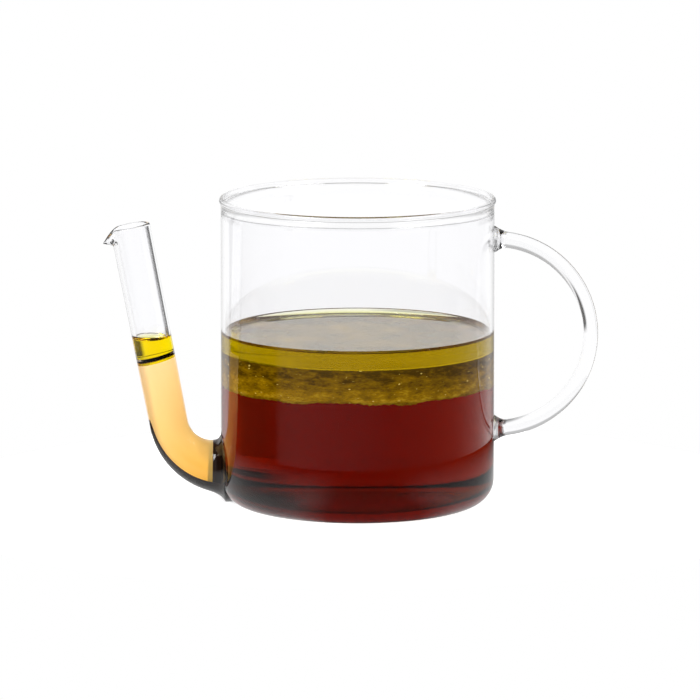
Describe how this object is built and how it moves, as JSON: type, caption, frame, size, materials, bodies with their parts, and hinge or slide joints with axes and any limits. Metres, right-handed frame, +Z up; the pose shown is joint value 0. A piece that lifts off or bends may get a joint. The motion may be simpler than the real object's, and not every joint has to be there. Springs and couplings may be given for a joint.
{
  "type": "gravy fat separator",
  "caption": "clear glass jug that parts fat from gravy, with a low bent pouring spout and a looped rod handle, shown filled with gravy, a cloudy band and a layer of oil",
  "frame": {"origin": "on the table plane, where the jug's own axis meets it; the mount base_rest", "axes": "+Z up along the jug's axis, handle at +X, spout at -X, +Y away from the viewer"},
  "size_m": [0.1815, 0.101, 0.113],
  "materials": {
    "clear_glass": "clear, fire-polished borosilicate glass",
    "brown_gravy": "dark red-brown clear liquid",
    "cloudy_emulsion": "cloudy olive-brown liquid with fine bubbles",
    "golden_fat": "clear olive-gold oil",
    "amber_gravy": "amber liquid, as the dark gravy looks in a thin layer",
    "dark_film": "dark skin between oil and gravy"
  },
  "bodies": {
    "root": {"jug_body": "clear_glass", "spout_tube": "clear_glass", "handle_rod": "clear_glass", "upper_handle_foot": "clear_glass", "lower_handle_foot": "clear_glass", "gravy": "brown_gravy", "emulsion_layer": "cloudy_emulsion", "fat_layer": "golden_fat", "spout_gravy": "amber_gravy", "spout_film": "dark_film", "spout_fat": "golden_fat"}
  },
  "joints": []
}
